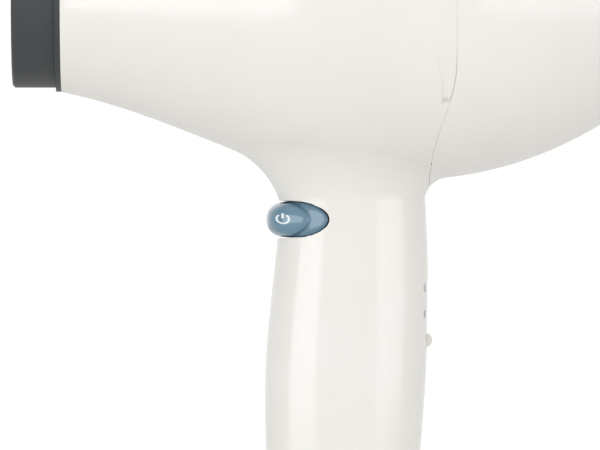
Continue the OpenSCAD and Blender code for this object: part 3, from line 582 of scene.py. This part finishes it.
def button_base(u, v):
    """Point on the body under the button: u runs -1..1 round the handle's front, v -1..1 up its height.

    The column's place x goes from nose to tip with sin(90 degrees times |u|)^1.6, so columns crowd at
    the tips, and its height is the outline's: level in front, and a half oval towards the tip.
    """
    run = np.sin(np.abs(u) * math.pi / 2)**COLUMN_POWER
    x = NOSE_X + COLUMN_START + (BUTTON_END_X - NOSE_X) * run
    s = BUTTON_S + v * BUTTON_HALF * outline_share(x)
    front = np.broadcast_to(along(s, FRONT), np.broadcast(u, v).shape)
    side = along(s, SIDE)
    share = np.clip((HANDLE_X - x) / front, 0, 1)
    y = np.sign(u) * side * (1 - share**SECTION_POWER)**(1 / SECTION_POWER)
    return on_body(np.stack(np.broadcast_arrays(x, y, -s), -1)), x


def button_height(normals, x, v):
    """Height over the body: a dome that swells at the nose and narrows to a round end, on a lower tail.

    With run going 0..1 from OVAL_X to LOBE_END_X and w the height v times the outline's share at x,
    q = run^1.15 + w^2 and the dome is (1 - q^1.3)^(1/2.4). The tail is level along its middle and
    rolls off with |v|^4 to its rim, below the housing's lip. A smooth maximum joins the two.
    """
    facing = np.clip(-normals[..., 0], 0, 1)
    swell = LOBE_OUT + (NOSE_OUT - LOBE_OUT) * smooth_step(SWELL_FROM, 1.0, facing)
    run = np.clip((x - OVAL_X) / (LOBE_END_X - OVAL_X), 0, 3)
    q = run**RUN_POWER + (v * outline_share(x))**2
    dome = (1 - np.minimum(q, 1)**DOME_POWER)**(1 / DOME_ROOT)
    dome = (swell + TAIL_DEPTH) * dome - TAIL_DEPTH - 1.5 * np.maximum(q - 1, 0)
    tail = -TAIL_DEPTH - RIM_DROP * v**4
    return (dome + tail) / 2 + np.sqrt(((dome - tail) / 2)**2 + CREASE**2) - CREASE


def closed_tube(rings):
    """Closed skin through a stack of equal rings of points, with a flat fan over each end."""
    stack, count = rings.shape[:2]
    index = np.arange(stack * count).reshape(stack, count)
    a, b = index[:-1], index[1:]
    quads = np.stack([a, b, np.roll(b, -1, 1), np.roll(a, -1, 1)], -1).reshape(-1, 4)
    fans = [np.stack([row, np.roll(row, -1), np.full(count, stack * count + k)], -1)
            for k, row in enumerate((index[0], index[-1]))]
    points = np.vstack([rings.reshape(-1, 3), rings[0].mean(0), rings[-1].mean(0)])
    return points, np.vstack([quads[:, [0, 1, 2]], quads[:, [0, 2, 3]], *fans])


def make_button():
    """The saddle as a closed skin: its face, a skirt down into the opening, and an inner face."""
    u = np.linspace(-1, 1, BUTTON_COLUMNS)[:, None]
    v = np.sin(np.linspace(-math.pi / 2, math.pi / 2, BUTTON_ROWS))[None, :]
    base, x = button_base(u, v)
    n = normals_at(base)
    x, v = (np.broadcast_to(c, base.shape[:2]) for c in (x, v))
    height = button_height(n, x, v)
    face = base + height[..., None] * n
    inner = base - SKIRT_DEPTH * n
    rings = np.concatenate([face, inner[:, ::-1][:, ::3]], 1)
    points, tris = tidy(*closed_tube(rings))
    return outward(make_mesh("button_saddle", points, tris))


def outward(obj):
    """Turns every face outwards."""
    bm = bmesh.new()
    bm.from_mesh(obj.data)
    bmesh.ops.recalc_face_normals(bm, faces=bm.faces)
    bm.to_mesh(obj.data)
    bm.free()
    return obj


def button_top(x, s):
    """Points on the button's face on the low-Y side at places x and depths s, with their normals."""
    front, side = along(s, FRONT), along(s, SIDE)
    share = np.clip((HANDLE_X - x) / front, 0, 1)
    y = -side * (1 - share**SECTION_POWER)**(1 / SECTION_POWER)
    base = on_body(np.stack([x, y, -s], -1))
    n = normals_at(base)
    return base + button_height(n, x, (s - BUTTON_S) / BUTTON_HALF)[..., None] * n, n


def ribbon(paths, width, place, lift, name):
    """Flat print strips: each path is widened on both sides in its own plane and laid on a surface."""
    verts, faces = [], []
    for path in paths:
        d = np.gradient(path, axis=0)
        d /= np.linalg.norm(d, axis=1, keepdims=True)
        side = np.stack([-d[:, 1], d[:, 0]], -1) * width / 2
        lines = np.stack([path + k * side for k in (-1, -1 / 3, 1 / 3, 1)], 1).reshape(-1, 2)
        p, n = place(lines[:, 0], lines[:, 1])
        k = sum(len(c) for c in verts)
        verts.append(p + lift * n)
        index = k + np.arange(len(lines)).reshape(-1, 4)
        a, b = index[:-1], index[1:]
        faces.append(np.stack([a[:, :-1], b[:, :-1], b[:, 1:], a[:, 1:]], -1).reshape(-1, 4))
    return make_mesh(name, np.vstack(verts), np.vstack(faces))


MARK_X = NOSE_X + 2.8
MARK_R = 1.15
MARK_SQUEEZE = 0.8
STROKE = 0.36
PRINT_LIFT = 0.03


def make_power_mark():
    """Generic power sign: a ring open at the top with an upright bar in the gap."""
    a = np.radians(np.linspace(35, 325, 48))
    arc = np.stack([MARK_X + MARK_SQUEEZE * MARK_R * np.sin(a), BUTTON_S - MARK_R * np.cos(a)], -1)
    bar = np.stack([np.full(12, MARK_X), BUTTON_S - MARK_R * np.linspace(1.25, 0.1, 12)], -1)
    return ribbon([arc, bar], STROKE, button_top, PRINT_LIFT, "power_mark")


SPRING_WIRE_R = 0.28
SPRING_TURNS = 2


def make_spring():
    """Return spring: a round wire swept along a helix about X, its two ends closed with flat fans."""
    r = (spring_high[1] - spring_low[1]) / 2 - SPRING_WIRE_R
    length = spring_high[0] - spring_low[0] - 2 * SPRING_WIRE_R
    t = np.linspace(0, 1, 40 * SPRING_TURNS + 1)[:, None]
    a = 2 * math.pi * SPRING_TURNS * t
    b = np.linspace(0, 2 * math.pi, 12, endpoint=False)[None, :]
    reach = r + SPRING_WIRE_R * np.cos(b)
    x = spring_low[0] + SPRING_WIRE_R + t * length + SPRING_WIRE_R * np.sin(b)
    tube = np.stack([x, reach * np.cos(a), reach * np.sin(a) - BUTTON_S], -1)
    return outward(make_mesh("return_spring", *closed_tube(tube)))


KNOB_PITCH = 6.7
TICK_Y0, TICK_Y1 = 6.1, 7.5
TICK_HALF = 0.95
TICK_GRID = (5, 7)
TICK_LIFT = 0.02


def make_ticks():
    """Two printed position ticks beside the spine on each side, one knob step apart.

    Each is a small rectangle of points across Y and Z, moved onto the body and lifted a hair.
    """
    knob_s = -(knob_low[2] + knob_high[2]) / 2
    wide, tall = TICK_GRID
    patches = []
    for step in (1, 2):
        for side in (-1, 1):
            y = side * np.linspace(TICK_Y0, TICK_Y1, wide)[:, None]
            s = np.linspace(-TICK_HALF, TICK_HALF, tall)[None, :] + knob_s - step * KNOB_PITCH
            p = on_body(np.stack(np.broadcast_arrays(HANDLE_X + GRIP_REAR, y, -s), -1))
            patches.append((p + TICK_LIFT * normals_at(p)).reshape(-1, 3))
    index = np.arange(wide * tall).reshape(wide, tall)
    quads = np.stack([index[:-1, :-1], index[1:, :-1], index[1:, 1:], index[:-1, 1:]], -1)
    faces = np.vstack([quads.reshape(-1, 4) + wide * tall * k for k in range(len(patches))])
    return outward(make_mesh("position_ticks", np.vstack(patches), faces))


# ---------------------------------------------------------------- materials


def colour(hex_code):
    """sRGB hex to a linear colour, opaque."""
    rgb = [int(hex_code[i:i + 2], 16) / 255 for i in (1, 3, 5)]
    return [c / 12.92 if c <= 0.04045 else ((c + 0.055) / 1.055)**2.4 for c in rgb] + [1.0]


def add(tree, kind, settings=None, **links):
    """Adds a node, sets its properties and sockets, and links its inputs."""
    node = tree.nodes.new(kind)
    for key, value in (settings or {}).items():
        if key in node.inputs:
            node.inputs[key].default_value = value
        else:
            setattr(node, key, value)
    for key, source in links.items():
        tree.links.new(source, node.inputs[key.replace("_", " ")])
    return node


# The patches over which a colour drifts, and a top layer that is nearly mirror smooth.
DRIFT_MM = 28.0
COAT_ROUGHNESS = 0.06


def finish_material(name, base, dark, rough, grain_mm, bump_mm,
                    metallic=0.0, coat=0.0, spread=0.05, stretch=(1, 1, 1)):
    """A surface of one stuff, from two noises in the object's own space.

    A slow one drifts the colour between dark and base. A fine one, grain_mm across, moves the
    roughness by spread either way and the height by bump_mm. Along each axis a stretch over 1
    squeezes both patterns and one under 1 draws them out.
    """
    m = bpy.data.materials.new(name)
    m.use_nodes = True
    tree = m.node_tree
    shader = tree.nodes["Principled BSDF"]
    shader.inputs["Metallic"].default_value = metallic
    shader.inputs["Coat Weight"].default_value = coat
    shader.inputs["Coat Roughness"].default_value = COAT_ROUGHNESS
    place = add(tree, "ShaderNodeTexCoord")
    turned = add(tree, "ShaderNodeMapping", {"Scale": stretch}, Vector=place.outputs["Object"])
    drift = add(tree, "ShaderNodeTexNoise", {"Scale": 1 / (DRIFT_MM * MM), "Detail": 3.0},
                Vector=turned.outputs[0])
    grain = add(tree, "ShaderNodeTexNoise", {"Scale": 1 / (grain_mm * MM), "Detail": 2.0},
                Vector=turned.outputs[0])
    ramp = add(tree, "ShaderNodeValToRGB", {}, Fac=drift.outputs["Fac"])
    ends = ramp.color_ramp.elements
    ends[0].position, ends[1].position = 0.35, 0.7
    ends[0].color, ends[1].color = colour(dark), colour(base)
    gloss = add(tree, "ShaderNodeMapRange", {"To Min": rough - spread, "To Max": rough + spread},
                Value=grain.outputs["Fac"])
    bump = add(tree, "ShaderNodeBump", {"Strength": 1.0, "Distance": bump_mm * MM},
               Height=grain.outputs["Fac"])
    tree.links.new(ramp.outputs["Color"], shader.inputs["Base Color"])
    tree.links.new(gloss.outputs[0], shader.inputs["Roughness"])
    tree.links.new(bump.outputs[0], shader.inputs["Normal"])
    return m


# Glossy ABS moulded in ivory: pale and warm, with the faintest ripple of a polished tool.
ivory_abs = finish_material(
    "ivory_moulded_abs", "#eae8e4", "#e7e5e0", 0.2, 9.0, 0.012, coat=0.35, spread=0.03)
# Glossy ABS moulded in slate blue: deeper colour and a sharper shine than the body.
slate_abs = finish_material(
    "slate_moulded_abs", "#62879c", "#5b8096", 0.14, 6.0, 0.01, coat=0.8, spread=0.03)
# White pad print: flat and slightly chalky.
print_white = finish_material("pad_print_white", "#e9f2f6", "#dfeaf0", 0.45, 0.8, 0.003)
# Grey pad print on the ivory: flat, and only just darker than its ground.
print_grey = finish_material("pad_print_grey", "#b9b7b4", "#b1afac", 0.45, 0.8, 0.003)
# Heat-resistant glass-filled nylon: dark and satin, with a fine spark-eroded grain.
charcoal_nylon = finish_material("charcoal_glass_filled_nylon", "#3b3e42", "#34373a", 0.48, 0.7, 0.03)
# The same nylon in a lighter grey, duller where it is never handled.
duct_nylon = finish_material("duct_glass_filled_nylon", "#4d5155", "#44484b", 0.55, 0.9, 0.03)
# Compression-moulded phenolic: near black, with a low sheen.
black_phenolic = finish_material("black_moulded_phenolic", "#1e1f21", "#17181a", 0.45, 0.9, 0.02)
# Unfilled nylon in its natural colour: milky cream, slightly waxy.
fan_nylon = finish_material("natural_moulded_nylon", "#d8d3c6", "#cdc7b8", 0.42, 1.5, 0.01)
# Plain grey ABS for the inner frame: even and matt.
chassis_abs = finish_material("grey_moulded_abs", "#6c7074", "#63676b", 0.5, 1.0, 0.02)
# Fired steatite: off-white, dry and finely pitted.
white_steatite = finish_material("fired_steatite", "#e4e0d6", "#d6d1c5", 0.55, 0.6, 0.02)
# Zinc-plated screws: bright, with a cool blotched sheen.
plated_steel = finish_material(
    "zinc_plated_steel", "#c3c6ca", "#aaaeb4", 0.3, 0.6, 0.006, metallic=1.0)
# Hard-drawn spring wire: clean and bright.
coiled_steel = finish_material(
    "coiled_spring_steel", "#b5b8bc", "#9ca0a5", 0.28, 0.4, 0.004, metallic=1.0)
# Deep-drawn can: long soft streaks along the draw.
drawn_steel = finish_material(
    "drawn_can_steel", "#a9adb1", "#989ca1", 0.34, 0.5, 0.008, metallic=1.0, stretch=(0.1, 1, 1))
# Centreless-ground shaft: tight rings round a bright rod.
ground_steel = finish_material(
    "ground_shaft_steel", "#b4b7bb", "#a3a7ac", 0.22, 0.4, 0.004, metallic=1.0, stretch=(3, 1, 1))
# Stacked laminations: dark steel lined by the edges of its sheets.
laminated_steel = finish_material(
    "stacked_laminated_steel", "#7d8186", "#5f6368", 0.45, 0.5, 0.03, metallic=1.0,
    stretch=(6, 0.3, 0.3))
# Woven filter wire: a dull grey cloth whose bumps break up the light.
woven_wire = finish_material("woven_filter_wire", "#8f949a", "#6d7278", 0.4, 0.7, 0.08, metallic=0.9)
# Nichrome after its first heat: brown-grey, with the shine gone.
heater_wire = finish_material(
    "oxidised_nichrome_wire", "#6f6a66", "#57514d", 0.5, 0.6, 0.02, metallic=0.9)
# Enamelled copper, wound: warm and glossy, ribbed turn by turn.
enamelled_copper = finish_material(
    "enamelled_copper_wire", "#b8703c", "#9c5a2e", 0.3, 0.4, 0.05, metallic=0.9,
    stretch=(0.3, 4, 4))
# Stamped brass: yellow and smooth, a little tarnished.
stamped_brass = finish_material(
    "stamped_brass", "#c2a45c", "#ab8e4b", 0.32, 0.6, 0.01, metallic=1.0)
# Sintered bronze: brown and granular, dulled by its oil.
sintered_bronze = finish_material(
    "sintered_bronze", "#a37f48", "#8d6b3a", 0.5, 0.3, 0.03, metallic=1.0)
# Sintered ferrite: charcoal grey, stony and dry.
sintered_ferrite = finish_material("sintered_ferrite", "#3d3b3c", "#323031", 0.6, 0.4, 0.03)
# Pressed mica: tan flakes, some shiny and some dull.
pressed_mica = finish_material(
    "pressed_mica_sheet", "#c6b48d", "#a89368", 0.35, 1.8, 0.03, spread=0.12)
# Glass-epoxy laminate: green and smooth under its solder mask.
green_laminate = finish_material("glass_epoxy_laminate", "#2f6f49", "#27603f", 0.35, 0.5, 0.01)
# Cast resin: ochre and smooth, with a soft gloss.
cast_resin = finish_material("cast_resin", "#b08a2e", "#9c7a28", 0.3, 1.0, 0.01)
# Moulded rubber: black and dead matt.
soft_rubber = finish_material("soft_seal_rubber", "#2b2c2e", "#222324", 0.7, 0.6, 0.03)
# Extruded PVC insulation, brown and blue: even colour with a dull shine.
brown_pvc = finish_material("brown_extruded_pvc", "#74462a", "#663c23", 0.35, 0.8, 0.01)
blue_pvc = finish_material("blue_extruded_pvc", "#35599a", "#2d4e8a", 0.35, 0.8, 0.01)

SLOT_FINISH = {
    "ivory_plastic": ivory_abs, "slate_plastic": slate_abs, "charcoal_plastic": charcoal_nylon,
    "duct_plastic": duct_nylon, "filter_mesh": woven_wire, "seal_rubber": soft_rubber,
    "screw_steel": plated_steel, "fan_plastic": fan_nylon, "shaft_steel": ground_steel,
    "core_steel": laminated_steel, "copper_wire": enamelled_copper, "can_steel": drawn_steel,
    "ferrite": sintered_ferrite, "black_plastic": black_phenolic, "bronze": sintered_bronze,
    "brass": stamped_brass, "board": green_laminate, "mica": pressed_mica, "heater_wire": heater_wire,
    "white_ceramic": white_steatite, "chassis_plastic": chassis_abs, "capacitor_case": cast_resin,
    "wire_brown": brown_pvc, "wire_blue": blue_pvc,
}


def wear(obj, material):
    """Gives an object one material."""
    obj.data.materials.clear()
    obj.data.materials.append(material)


for part in frame["record"]["subparts"]:
    shown = frame["nodes"][part["node"]]
    if shown.data.materials:
        for slot in shown.material_slots:
            slot.material = SLOT_FINISH[part["material_slot"]]
    else:
        shown.data.materials.append(SLOT_FINISH[part["material_slot"]])

# ---------------------------------------------------------------- pieces

PIECES = [
    (make_main_housing, ivory_abs, "housing", "ivory_plastic", ["main_housing"]),
    (make_rear_cover, ivory_abs, "housing", "ivory_plastic", ["rear_cover"]),
    (make_button, slate_abs, "trigger", "slate_plastic", ["trigger_button"]),
    (make_spring, coiled_steel, "trigger", "screw_steel", ["trigger_spring"]),
    (make_power_mark, print_white, "trigger", "slate_plastic", []),
    (make_ticks, print_grey, "housing", "ivory_plastic", []),
]
for make, material, body, slot_name, nodes in PIECES:
    piece = make()
    wear(piece, material)
    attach(piece, body)
    if nodes:
        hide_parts(*nodes)
    if make is make_spring:
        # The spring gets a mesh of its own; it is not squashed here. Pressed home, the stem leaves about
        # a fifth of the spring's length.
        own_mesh(piece)

# ---------------------------------------------------------------- floor, light and camera


FLOOR_R = 1200.0
FLOOR_SIDES = 96
FLOOR_DROP = 0.05


def make_floor():
    """A pale disc just under the object's lowest point, as a fan round its middle."""
    a = np.linspace(0, 2 * math.pi, FLOOR_SIDES, endpoint=False)
    low = cad_box[0][2] / MM - FLOOR_DROP
    rim = np.stack([HANDLE_X + FLOOR_R * np.cos(a), FLOOR_R * np.sin(a), np.full_like(a, low)], -1)
    points = np.vstack([[[HANDLE_X, 0.0, low]], rim])
    k = np.arange(FLOOR_SIDES)
    fan = np.stack([np.zeros_like(k), 1 + k, 1 + (k + 1) % FLOOR_SIDES], -1)
    obj = make_mesh("floor", points, fan, smooth=False)
    wear(obj, finish_material("matt_painted_floor", "#f1f0ee", "#f0efed", 0.6, 2.0, 0.01))


def look(at, aim):
    """Euler turn that points -Z from `at` to `aim` with +Y up."""
    return (Vector(aim) - Vector(at)).to_track_quat("-Z", "Y").to_euler()


def softbox(name, at, aim, size, watts):
    """A square area lamp at `at`, turned to `aim`, both in metres."""
    lamp = bpy.data.lights.new(name, "AREA")
    lamp.shape, lamp.size, lamp.energy = "SQUARE", size, watts
    obj = bpy.data.objects.new(name, lamp)
    obj.location = at
    obj.rotation_euler = look(at, aim)
    bpy.context.scene.collection.objects.link(obj)


def make_world():
    """White to the camera, and for light a pale room that is dimmer towards both ends of X."""
    world = bpy.data.worlds.new("studio")
    bpy.context.scene.world = world
    world.use_nodes = True
    tree = world.node_tree
    out = tree.nodes["World Output"]
    light = tree.nodes["Background"]
    place = add(tree, "ShaderNodeTexCoord")
    axes = add(tree, "ShaderNodeSeparateXYZ", {}, Vector=place.outputs["Generated"])
    side = add(tree, "ShaderNodeMath", {"operation": "ABSOLUTE"})
    tree.links.new(axes.outputs["X"], side.inputs[0])
    room = add(tree, "ShaderNodeValToRGB", {}, Fac=side.outputs[0])
    ends = room.color_ramp.elements
    ends[0].position, ends[1].position = 0.45, 0.98
    ends[0].color, ends[1].color = (1, 1, 1, 1), (0.7, 0.7, 0.69, 1)
    tree.links.new(room.outputs["Color"], light.inputs["Color"])
    light.inputs["Strength"].default_value = 0.86
    white = add(tree, "ShaderNodeBackground", {"Color": (1, 1, 1, 1), "Strength": 1.05})
    path = add(tree, "ShaderNodeLightPath")
    mix = add(tree, "ShaderNodeMixShader", {}, Fac=path.outputs["Is Camera Ray"])
    tree.links.new(light.outputs[0], mix.inputs[1])
    tree.links.new(white.outputs[0], mix.inputs[2])
    tree.links.new(mix.outputs[0], out.inputs["Surface"])


make_floor()
make_world()
BARREL_AIM, GRIP_AIM = (0.08, 0, -0.03), (0.08, 0, -0.15)
softbox("front_box", (-0.55, -1.3, 0.75), BARREL_AIM, 0.8, 0.25)
softbox("side_box", (0.9, -0.8, -0.05), GRIP_AIM, 0.9, 3.6)
softbox("low_box", (-0.75, -0.8, -0.12), GRIP_AIM, 0.9, 5.4)

# The view spans 154 mm, centred on the top of the handle, through a long lens.
VIEW_X, VIEW_Z, VIEW_W, DISTANCE = 72.95 * MM, -57.2 * MM, 153.8 * MM, 2.6
SENSOR = 36.0
camera_data = bpy.data.cameras.new("camera")
camera = bpy.data.objects.new("camera", camera_data)
camera.location = (VIEW_X, -DISTANCE, VIEW_Z)
camera.rotation_euler = (math.pi / 2, 0, 0)
camera_data.sensor_width = SENSOR
camera_data.lens = SENSOR * DISTANCE / VIEW_W
camera_data.clip_end = 20
bpy.context.scene.collection.objects.link(camera)
bpy.context.scene.camera = camera
bpy.context.scene.view_settings.view_transform = "Standard"
